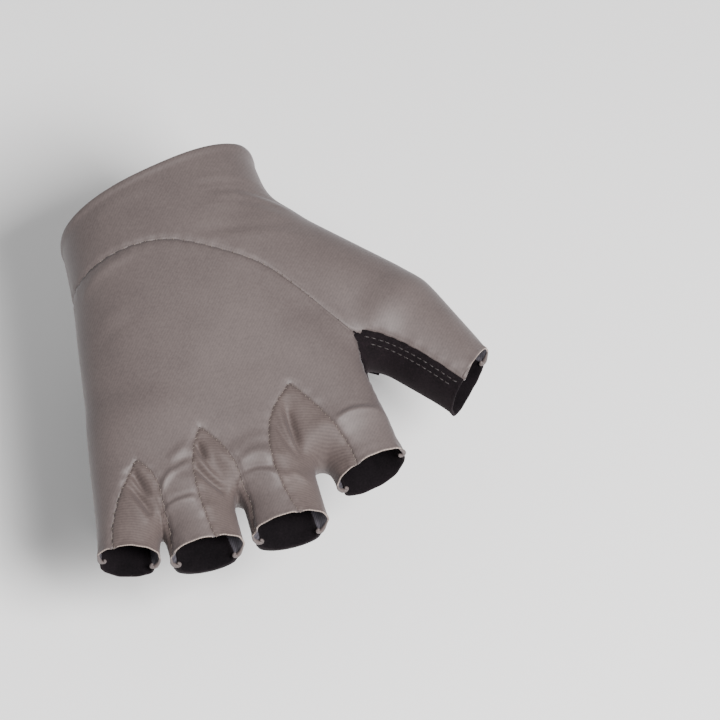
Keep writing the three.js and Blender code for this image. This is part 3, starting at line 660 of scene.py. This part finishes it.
# Warp-knitted polyamide microfibre, brushed: a satin face with a soft bloom at grazing angles.
# Its wales are drawn about twice as coarse as the real cloth's 0.4 mm, so that they show.
upperKnit = {
    "dark": "4b4241", "light": "5d5351", "roughness": 0.58, "ior": 1.53, "specular": 0.45,
    "sheen": 0.12, "sheenRoughness": 0.4, "sheenTone": "d8d4dc", "pitch": 0.85, "lean": 38.0,
    "waleShare": 0.1, "blotchSize": 22.0, "grainSize": 0.9, "depth": 0.04, "strength": 0.2,
    "ramp": (0.3, 0.7),  # where the dark tone ends and the light one begins
}
# The same yarn in a fine rib for the strips between the fingers: thin lines across each finger.
gussetKnit = {
    "dark": "473d3b", "light": "594e4b", "roughness": 0.64, "ior": 1.53, "specular": 0.3,
    "sheen": 0.1, "sheenRoughness": 0.5, "sheenTone": "cfcad0", "pitch": 0.9, "lean": 105.0,
    "waleShare": 0.16, "blotchSize": 12.0, "grainSize": 0.8, "depth": 0.04, "strength": 0.2,
    "ramp": (0.3, 0.7),
}
# The unbrushed inner face of the knit: cooler, flatter grey. Its tones are also painted darker than
# the cloth's own, as painted shade inside the openings.
innerKnitWithPaintedShade = dict(upperKnit, dark="3b383e", light="4d4a51", roughness=0.8, sheen=0.1, waleShare=0.4)
# Cut edge of the bonded knit: pale filament ends that catch the light.
cutEdge = dict(upperKnit, dark="74665f", light="9a8b82", roughness=0.7, sheen=0.2, pitch=0.7,
               waleShare=0.3, grainSize=0.5, depth=0.06, strength=0.6)


def makeKnit(name, look):
    material, tree, shader, place = startMaterial(name, look)
    straight = inMillimetres(tree, place)
    wales = addNode(tree, "ShaderNodeTexWave", {
        "Vector": inMillimetres(tree, place, look["lean"]), "Scale": bandScale(look["pitch"]),
        "Distortion": 0.6, "Detail": 1.0, "Detail Scale": 0.3}).outputs["Fac"]
    grain, blotch = (addNode(tree, "ShaderNodeTexNoise", {
        "Vector": straight, "Scale": 1 / look[size], "Detail": detail}).outputs["Fac"]
        for size, detail in (("grainSize", 2.0), ("blotchSize", 3.0)))
    tint = addUp(tree, grain, blotch, 0.5, 0.5)
    paint(tree, shader, addUp(tree, wales, tint, look["waleShare"], 1 - look["waleShare"]), look)
    emboss(tree, shader, addUp(tree, wales, grain, 0.6, 0.5), look)
    return material


# Microfibre suede, dyed black and sueded by sanding: a matt face whose short nap lies in patches
# and gives a faint warm bloom, with pale flecks of lint on it.
palmSuede = {
    "dark": "0b080a", "light": "1a1417", "fleck": "32282c", "roughness": 0.92, "ior": 1.46,
    "specular": 0.12,  # the nap traps nearly all of the surface reflection
    "sheen": 0.05, "sheenRoughness": 0.55, "sheenTone": "a8939a", "napSize": 0.55, "patchSize": 9.0,
    "fleckSize": 1.3, "fleckEdge": (0.06, 0.14), "fleckShare": 0.5, "depth": 0.08, "strength": 0.5,
    "ramp": (0.35, 0.68),
}
patchSuede = dict(palmSuede, dark="0e0b0e", light="1f191d", sheen=0.08, napSize=0.7)
innerSuede = dict(palmSuede, dark="080608", light="151114", sheen=0.03, fleck="1f191d")


def makeSuede(name, look):
    material, tree, shader, place = startMaterial(name, look)
    straight = inMillimetres(tree, place)
    nap, patches = (addNode(tree, "ShaderNodeTexNoise", {
        "Vector": straight, "Scale": 1 / look[size], "Detail": detail,
        "Distortion": distortion}).outputs["Fac"]
        for size, detail, distortion in (("napSize", 4.0, 0.0), ("patchSize", 2.0, 0.8)))
    colour = paint(tree, shader, addUp(tree, nap, patches, 0.6, 0.4), look)
    spots = addNode(tree, "ShaderNodeTexVoronoi", {
        "Vector": straight, "Scale": 1 / look["fleckSize"]}).outputs["Distance"]
    lint = addNode(tree, "ShaderNodeMapRange", {
        "Value": spots, "From Min": look["fleckEdge"][0], "From Max": look["fleckEdge"][1],
        "To Min": look["fleckShare"], "To Max": 0.0}).outputs["Result"]
    mixed = addNode(tree, "ShaderNodeMix", {0: lint, 6: colour, 7: linear(look["fleck"])},
                    data_type="RGBA")
    tree.links.new(mixed.outputs[2], shader.inputs["Base Color"])
    emboss(tree, shader, nap, look)
    return material


# Polypropylene webbing and elastic tape, woven: a dull black with a slight gloss on each rib.
webbing = {
    "dark": "080608", "light": "1c171b", "roughness": 0.6, "ior": 1.49, "specular": 0.3,
    "sheen": 0.05, "sheenRoughness": 0.5, "sheenTone": "b0a8b0", "weftPitch": 1.2, "warpPitch": 0.8,
    "depth": 0.16, "strength": 0.8, "lean": 90.0, "ramp": (0.2, 0.9),
}
ribbedTape = dict(webbing, light="211b20", weftPitch=0.7, warpPitch=0.6, depth=0.06, strength=0.5)


def makeWebbing(name, look):
    material, tree, shader, place = startMaterial(name, look)
    across = inMillimetres(tree, place, look["lean"])
    wefts, warps = (addNode(tree, "ShaderNodeTexWave", {
        "Vector": across, "Scale": bandScale(look[pitch]), "Distortion": distortion},
        bands_direction=direction).outputs["Fac"]
        for pitch, distortion, direction in (("weftPitch", 0.3, "X"), ("warpPitch", 0.4, "Y")))
    weave = addUp(tree, wefts, warps, 0.7, 0.3)
    paint(tree, shader, weave, look)
    emboss(tree, shader, weave, look)
    return material


# Twisted polyester sewing thread, about 0.3 mm thick: a silky strand with a spiral of fine plies.
taupeThread = {
    "dark": "4a423d", "light": "7d7168", "roughness": 0.5, "ior": 1.54, "specular": 0.5,
    "sheen": 0.2, "sheenRoughness": 0.4, "sheenTone": "e0d8d0", "plyPitch": 0.35, "lean": 30.0,
    "depth": 0.05, "strength": 0.5, "ramp": (0.1, 0.9),
}
darkThread = dict(taupeThread, dark="1c1719", light="443a39")
blackThread = dict(taupeThread, dark="141012", light="32282b")


def makeThread(name, look):
    material, tree, shader, place = startMaterial(name, look)
    plies = addNode(tree, "ShaderNodeTexWave", {
        "Vector": inMillimetres(tree, place, look["lean"]), "Scale": bandScale(look["plyPitch"]),
        "Distortion": 0.5}, bands_direction="DIAGONAL").outputs["Fac"]
    paint(tree, shader, plies, look)
    emboss(tree, shader, plies, look)
    return material


finishes = {
    "upper": makeKnit("brushed_warp_knit", upperKnit),
    "gusset": makeKnit("fine_rib_knit", gussetKnit),
    "innerKnitWithPaintedShade": makeKnit("knit_inner_face_painted_shade", innerKnitWithPaintedShade),
    "cutEdge": makeKnit("cut_knit_edge", cutEdge),
    "palm": makeSuede("microfibre_suede", palmSuede),
    "patch": makeSuede("patch_suede", patchSuede),
    "innerSuede": makeSuede("suede_inner_face", innerSuede),
    "tape": makeWebbing("ribbed_elastic_tape", ribbedTape),
    "webbing": makeWebbing("woven_webbing", webbing),
    "taupeThread": makeThread("taupe_polyester_thread", taupeThread),
    "darkThread": makeThread("dark_polyester_thread", darkThread),
    "blackThread": makeThread("black_polyester_thread", blackThread),
}
print(f"materials: {len(finishes)}")


# Shells

def newObject(name, points, faces, materials=(), faceMaterials=None):
    mesh = bpy.data.meshes.new(name)
    mesh.from_pydata((points * mm).tolist(), [], faces)
    for material in materials:
        mesh.materials.append(material)
    if faceMaterials is not None:
        mesh.polygons.foreach_set("material_index", np.asarray(faceMaterials, np.int32))
    mesh.shade_smooth()
    mesh.update()
    thing = bpy.data.objects.new(name, mesh)
    bpy.context.scene.collection.objects.link(thing)
    return thing


shellShape = {
    "knitWall": 0.65,  # cloth thickness as a share of the solid's wall
    "otherWall": 0.85,
    "edge": ((0.2, 0.2), (0.5, 0.28), (0.8, 0.2)),  # depth and bulge of the rounded edge, in walls
    "sewnBulge": 0.2,  # of that bulge where a piece is sewn on
    "foldedWithin": 30.0,  # distance from the wrist where the rim is folded, with no cut edge
}
# Outer face, inner face, cut edge and the record's slot of each piece
clothFinishes = {
    "back_panel": ("upper", "innerKnitWithPaintedShade", "cutEdge", "upper_knit"),
    "cuff_and_thumb_panel": ("upper", "innerKnitWithPaintedShade", "cutEdge", "upper_knit"),
    "palm_panel": ("palm", "innerSuede", "palm", "palm_suede"),
    **{node: ("gusset", "innerKnitWithPaintedShade", "cutEdge", "gusset_knit") for node in gussets},
    "thumb_web_patch": ("patch", "innerSuede", "patch", "patch_suede"),
    "middle_finger_tab": ("tape", "tape", "tape", "ribbed_tab"),
    "ring_finger_tab": ("tape", "tape", "tape", "ribbed_tab"),
}


def makeShell(node, skin):
    # Outer skin, inner skin and a rounded edge between them. Sewn edges keep the outer finish.
    outer, inner, edge, slot = clothFinishes[node]
    places, normals, count = skin["draped"], skin["normals"], len(skin["draped"])
    wall = skin["wall"] * shellShape["knitWall" if slot.endswith("knit") else "otherWall"]
    points = [places, places - normals * wall]
    faces = skin["triangles"].tolist() + (skin["triangles"][:, ::-1] + count).tolist()
    faceMaterials = [0] * len(skin["triangles"]) + [1] * len(skin["triangles"])
    start = 2 * count
    for loop, names in zip(skin["loops"], skin["beside"]):
        along = unit(places[np.roll(loop, -1)] - places[np.roll(loop, 1)])
        outward = unit(np.cross(along, normals[loop]))
        bulge = np.where(names == "", 1.0, shellShape["sewnBulge"])[:, None]
        kind = np.where((names == "") & (places[loop, 1] < -shellShape["foldedWithin"]), 2, 0)
        rows = [loop]
        for depth, reach in shellShape["edge"]:
            points.append(places[loop] - normals[loop] * wall * depth
                          + outward * wall * reach * bulge)
            rows.append(np.arange(start, start + len(loop)))
            start += len(loop)
        rows.append(loop + count)
        for upper, lower in zip(rows, rows[1:]):
            quads = np.stack([upper, lower, np.roll(lower, -1), np.roll(upper, -1)], axis=1)
            faces += quads.tolist()
            faceMaterials += kind.tolist()
    shell = newObject(node + "_cloth", np.concatenate(points), faces,
                      [finishes[outer], finishes[inner], finishes[edge]], faceMaterials)
    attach(shell, "root")
    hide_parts(node)


# Ribs of the tapes on the middle and ring fingers: they fade out towards the tape's edges
ribs = {"pitch": 1.15, "height": 0.3, "power": 0.7, "fade": (0.3, 1.0)}


def rimTree(skin):
    return makeTree(np.concatenate([skin["places"][loop] for loop in skin["loops"]]))


def raiseRibs(skin, tube):
    offset = skin["places"] - tube["end"]
    up, across = offset @ tube["up"], offset @ tube["across"]
    angle = np.arctan2(up, across)
    radius = np.linalg.norm(np.column_stack([up, across]), axis=1).mean()
    crest = np.abs(np.cos(np.pi * angle * radius / ribs["pitch"])) ** ribs["power"]
    inside = smoothStep(farFrom(rimTree(skin), skin["places"]), *ribs["fade"])
    skin["draped"] = skin["draped"] + skin["normals"] * (ribs["height"] * crest * inside)[:, None]


raiseRibs(skins["middle_finger_tab"], fingerTubes[1])
raiseRibs(skins["ring_finger_tab"], fingerTubes[2])
for node, skin in skins.items():
    makeShell(node, skin)
print("shells made")


# Stitches: short tubes of thread that dip into the cloth at both ends

def threadTubes(paths, radius, sides=6, taper=0.8):
    # paths is an array of stitches x points x 3, and radius is one number or one for each point
    count, steps, _ = paths.shape
    along = unit(np.gradient(paths, axis=1))
    across = unit(np.cross(along, [0.23, 0.31, 0.92]))  # no thread runs that way
    up = np.cross(along, across)
    turn = np.arange(sides) * 2 * np.pi / sides
    width = radius * np.where(np.isin(np.arange(steps), (0, steps - 1)), taper, 1.0)
    ring = (across[:, :, None] * np.cos(turn)[None, None, :, None]
            + up[:, :, None] * np.sin(turn)[None, None, :, None])
    points = paths[:, :, None] + ring * width[None, :, None, None]
    number = np.arange(count * steps * sides).reshape(count, steps, sides)
    turned = np.roll(number, -1, axis=2)
    quads = np.stack([number[:, :-1], turned[:, :-1], turned[:, 1:], number[:, 1:]], axis=-1)
    faces = quads.reshape(-1, 4).tolist() + number[:, 0, ::-1].tolist() + number[:, -1].tolist()
    return points.reshape(-1, 3), faces


def lengthAlong(points):
    return np.append(0, np.cumsum(np.linalg.norm(np.diff(points, axis=0), axis=1)))


def readLine(points, at):  # the places that lie that far along a line of points
    return np.column_stack([np.interp(at, lengthAlong(points), column) for column in points.T])


def borderRuns(node, beside, least=3.0):
    # stretches of a piece's border beside another, or of its hem, each with its points in order
    skin, runs = skins[node], []
    for loop, names in zip(skin["loops"], skin["beside"]):
        chosen = names == beside
        if not chosen.any():
            continue
        if chosen.all():
            groups = [np.append(loop, loop[0])]
        else:
            first = np.where(chosen & ~np.roll(chosen, 1))[0]
            groups = []
            for i in first:
                length = np.where(~np.roll(chosen, -i))[0][0]
                groups.append(np.roll(loop, -i)[:length])
        runs += [group for group in groups
                 if len(group) > 3 and lengthAlong(skin["places"][group])[-1] > least]
    return runs


def evenly(points, pitch, margin=0.6):  # places at one pitch along a line of points
    whole = lengthAlong(points)[-1]
    count = max(int((whole - 2 * margin) / pitch), 1)
    return readLine(points, np.linspace(margin, whole - margin, count + 1))


def onSkin(skin, places):  # from the bare form up to the draped cloth
    if "tree" not in skin:
        skin["tree"] = makeTree(skin["places"])
        skin["height"] = ((skin["draped"] - skin["places"]) * skin["normals"]).sum(axis=1)
    places = settle(places)
    near = [skin["tree"].find(place)[1] for place in places]
    return places + formNormal(places) * skin["height"][near][:, None]


stitching = {
    "jitter": 0.08, "jitterTurn": 2.3,  # each stitch is moved a little along its row
    "clearFrom": 0.5,  # rows further inside than this keep clear of the piece's border
    "clearShare": 0.75,  # of the row's distance inside
    "offSkin": 0.9,  # stitches further than this from the skin are left out
}


def stitchLine(node, beside, look, keep=None):
    # one row of stitches at one distance inside a piece's border; keep says which places get one
    skin, paths = skins[node], []
    for run in borderRuns(node, beside):
        points = skin["places"][run]
        normals = formNormal(points)
        outward = unit(np.cross(unit(np.gradient(points, axis=0)), normals))
        line = evenly(points - outward * look["inside"], look["pitch"])
        along = unit(np.gradient(line, axis=0))
        side = unit(np.cross(along, formNormal(line)))
        share = np.linspace(-0.5, 0.5, 5)[None, :, None]
        jitter = np.sin(np.arange(len(line)) * stitching["jitterTurn"])[:, None, None]
        jitter = stitching["jitter"] * jitter
        path = (line[:, None] + along[:, None] * (look["along"] * share + jitter)
                + side[:, None] * look["across"] * share)
        flat = path.reshape(-1, 3)
        raised = onSkin(skin, flat)
        lift = look["rise"] * (1 - (2 * share) ** 2) - look["sink"] * (2 * share) ** 4
        lift = np.broadcast_to(lift, path.shape[:2] + (1,)).reshape(-1, 1)
        raised = (raised + formNormal(flat) * lift).reshape(path.shape)
        if look["inside"] > stitching["clearFrom"]:  # none off the piece or near its other side
            middles = path[:, 2]
            clear = farFrom(rimTree(skin), middles) > stitching["clearShare"] * look["inside"]
            clear &= farFrom(skin["tree"], middles) < stitching["offSkin"]
            raised, line = raised[clear], line[clear]
        if keep is not None:
            raised = raised[keep(line)]
        paths.append(raised)
    return paths


# Slanted stitches that cross a seam, and dashes that run beside an edge. Sizes in millimetres.
overSeam = {"inside": -0.1, "pitch": 1.8, "along": 0.75, "across": 0.85, "radius": 0.11,
            "rise": 0.08, "sink": 0.12}
fineSeam = dict(overSeam, across=0.65, radius=0.1, rise=0.05)
topRow = {"inside": 1.0, "pitch": 2.3, "along": 1.6, "across": 0.0, "radius": 0.17, "rise": 0.16,
          "sink": 0.12}
secondRow = dict(topRow, inside=2.4)
thumbRow, secondThumbRow = dict(topRow, inside=2.0), dict(topRow, inside=4.0)
thumbFrom = {"x": 44.0, "z": -2.0}  # least place of a stitch on the thumb's back


def onThumb(line):
    return (line[:, 0] > thumbFrom["x"]) & (line[:, 2] > thumbFrom["z"])


def offThumb(line):
    return ~onThumb(line)


threadRows = [  # piece, the piece beside it, thread, look, where
    *[(node, "back_panel", "taupe", overSeam, None) for node in gussets],
    *[(node, "palm_panel", "dark", overSeam, None) for node in gussets],
    ("cuff_and_thumb_panel", "back_panel", "taupe", fineSeam, None),
    ("cuff_and_thumb_panel", "palm_panel", "dark", overSeam, offThumb),
    ("back_panel", "palm_panel", "dark", overSeam, None),
    ("palm_panel", "cuff_and_thumb_panel", "black", thumbRow, onThumb),
    ("palm_panel", "cuff_and_thumb_panel", "black", secondThumbRow, onThumb),
    ("thumb_web_patch", "", "black", topRow, None),
    ("thumb_web_patch", "", "black", secondRow, None),
]
for row, (node, beside, tone, look, keep) in enumerate(threadRows):
    paths = np.concatenate(stitchLine(node, beside, look, keep))
    points, faces = threadTubes(paths, look["radius"])
    thread = newObject(f"{node}_thread_{row}", points, faces, [finishes[tone + "Thread"]])
    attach(thread, "root")
print("stitches made")


# Curled ends: beside the palm's suede, the last millimetres of each knitted hem roll inwards
curl = {
    "length": 4.6, "hook": 1.15, "hookEnd": 0.65, "turn": 210.0, "steps": 26,
    "depth": 0.45,  # in walls, from the outer face
    "ahead": 9, "reach": 40,  # border points that show which way the hem runs, and that it follows
    "sides": 10,
    "radii": [(0.0, 0.28), (0.25, 0.5), (0.5, 0.78), (0.75, 0.66), (1.0, 0.4)],
}


def hemCorners():  # where the palm's hems end and the piece that each one meets
    skin, corners = skins["palm_panel"], []
    for loop, names in zip(skin["loops"], skin["beside"]):
        for step in (-1, 1):
            ends = np.where((names == "") & (np.roll(names, step) != ""))[0]
            corners += [(skin["places"][loop[i]], np.roll(names, step)[i]) for i in ends]
    return corners


def curledEnd(corner, node):
    skin, nearest = skins[node], []
    for k, (loop, names) in enumerate(zip(skin["loops"], skin["beside"])):
        far = np.linalg.norm(skin["places"][loop] - corner, axis=1)
        far = np.where(names == "", far, np.inf)
        nearest.append((far.min(), k, far.argmin()))
    _, k, i = min(nearest)
    loop, names = skin["loops"][k], skin["beside"][k]
    onwards = (np.roll(names, -i)[1:curl["ahead"]] == "").all()
    order = (np.roll(loop, -i) if onwards else np.roll(loop[::-1], i + 1))[:curl["reach"]]
    line = (skin["draped"] - skin["normals"] * skin["wall"] * curl["depth"])[order]
    line = readLine(line, np.linspace(curl["length"], 0, curl["steps"] // 2))
    forward, normal = unit(line[-1] - line[-4]), skin["normals"][order[0]]
    turn = np.radians(np.linspace(0, curl["turn"], curl["steps"] - len(line) + 1)[1:])[:, None]
    size = curl["hook"] * (1 - (1 - curl["hookEnd"]) * turn / turn.max())
    hook = line[-1] + forward * size * np.sin(turn) - normal * size * (1 - np.cos(turn))
    return np.concatenate([line, hook])


ends = [curledEnd(corner, node) for corner, node in hemCorners()]
thickness = np.interp(np.linspace(0, 1, curl["steps"]), *np.array(curl["radii"]).T)
points, faces = threadTubes(np.array(ends), thickness, curl["sides"])
curls = newObject("curled_hem_ends", points, faces, [finishes["upper"]])
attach(curls, "root")
print(f"curled hem ends: {len(ends)}")


# Wrist tab: the webbing's solid with its corners rounded, and three rows of stitches through it
tab = {
    "joinAngle": 0.6, "joinShape": 0.8,  # triangles that make one face, in radians
    "crease": 0.55, "creasedFrom": 1.0,  # least angle of a creased edge, in radians
    "levels": 3,
    "rows": (-22.6, -21.2, -4.6), "from": -25.6, "to": -12.4, "pitch": 2.2, "dash": 1.5,
    "above": 1.66, "slope": 0.018,  # the webbing's face over the form, and its change with y
    "threadRise": 0.1, "threadRadius": 0.16,
}


def makeWristTab():
    places, triangles = readSolid("wrist_tab")
    thing = newObject("wrist_tab_webbing", places, triangles.tolist(), [finishes["webbing"]])
    build = bmesh.new()
    build.from_mesh(thing.data)
    bmesh.ops.join_triangles(build, faces=build.faces[:], angle_face_threshold=tab["joinAngle"],
                             angle_shape_threshold=tab["joinShape"])
    creases = build.edges.layers.float.new("crease_edge")
    for edge in build.edges:
        if edge.is_manifold and edge.calc_face_angle() > tab["creasedFrom"]:
            edge[creases] = tab["crease"]
    build.to_mesh(thing.data)
    build.free()
    for polygon in thing.data.polygons:
        polygon.use_smooth = True
    smooth = thing.modifiers.new("smooth", "SUBSURF")
    smooth.levels = smooth.render_levels = tab["levels"]
    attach(thing, "root")
    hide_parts("wrist_tab")


def tabStitches():
    paths = []
    for y in tab["rows"]:
        for x in np.arange(tab["from"], tab["to"], tab["pitch"]):
            dash = np.column_stack([np.linspace(x, x + tab["dash"], 5), np.full(5, y)])
            line = dropOnForm(dash, -1)
            arch = tab["threadRise"] * (1 - np.linspace(-1, 1, 5)[:, None] ** 2)
            paths.append(line + formNormal(line) * (tab["above"] + tab["slope"] * y + arch))
    return np.array(paths)


makeWristTab()
points, faces = threadTubes(tabStitches(), tab["threadRadius"])
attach(newObject("wrist_tab_thread", points, faces, [finishes["blackThread"]]), "root")
print("wrist tab made")


# Stage, light and camera

view = {
    "azimuth": -15.0,
    "elevation": 55.0,
    "lens": 600.0,
    "pixelsPerMm": 3.05,
    "originAt": (158.0, 205.0),  # where the wrist opening's centre shows in a 720 x 720 picture
    "imageSize": 720.0,
}

keyLight = {  # large and soft, in front and to the right
    "location": (0.28, -0.76, 0.9),
    "target": (0, -0.06, 0),
    "size": (0.42, 0.42),
    "power": 30.0,
    "tone": (1, 0.985, 0.98),
}
surroundings = {"light": 0.5, "floorHeight": -70.0, "floorReach": 900.0}
# Seamless paper sweep: matt and nearly white
paperLook = {"tone": "fbfbfb", "roughness": 0.9, "ior": 1.5, "specular": 0.5, "sheen": 0.0,
             "sheenRoughness": 0.5, "sheenTone": "ffffff"}


def placeThing(name, data, location, towards):
    thing = bpy.data.objects.new(name, data)
    thing.location = location
    thing.rotation_mode = "QUATERNION"
    thing.rotation_quaternion = towards.to_track_quat("-Z", "Y")
    bpy.context.scene.collection.objects.link(thing)


def makeCamera():
    turn, tilt = math.radians(view["azimuth"]), math.radians(view["elevation"])
    flat = math.cos(tilt)
    back = Vector((math.sin(turn) * flat, -math.cos(turn) * flat, math.sin(tilt)))
    right = Vector((math.cos(turn), math.sin(turn), 0))
    up = back.cross(right)
    middle = view["imageSize"] / 2
    x, y = view["originAt"]
    aim = (right * (middle - x) + up * (y - middle)) / view["pixelsPerMm"] * mm
    camera = bpy.data.cameras.new("camera")
    camera.lens = view["lens"]
    width = view["imageSize"] / view["pixelsPerMm"] * mm
    distance = width * camera.lens / camera.sensor_width
    camera.clip_start, camera.clip_end = 0.01, 20
    placeThing("camera", camera, aim + back * distance, -back)
    bpy.context.scene.camera = bpy.data.objects["camera"]


def addAreaLight(name, location, target, size, power, tone):
    light = bpy.data.lights.new(name, "AREA")
    light.shape = "RECTANGLE"
    light.size, light.size_y = size
    light.energy = power
    light.color = tone
    placeThing(name, light, location, Vector(target) - Vector(location))


makeCamera()
addAreaLight("key", **keyLight)
world = bpy.data.worlds.new("studio")
world.use_nodes = True
world.node_tree.nodes["Background"].inputs["Color"].default_value = (1, 1, 1, 1)
world.node_tree.nodes["Background"].inputs["Strength"].default_value = surroundings["light"]
bpy.context.scene.world = world

paper, tree, shader, _ = startMaterial("studio_paper", paperLook)
shader.inputs["Base Color"].default_value = linear(paperLook["tone"])
reach, height = surroundings["floorReach"], surroundings["floorHeight"]
corners = np.array([(-reach, -reach, height), (reach, -reach, height),
                    (reach, reach, height), (-reach, reach, height)])
floor = newObject("floor", corners, [(0, 1, 2, 3)], [paper])
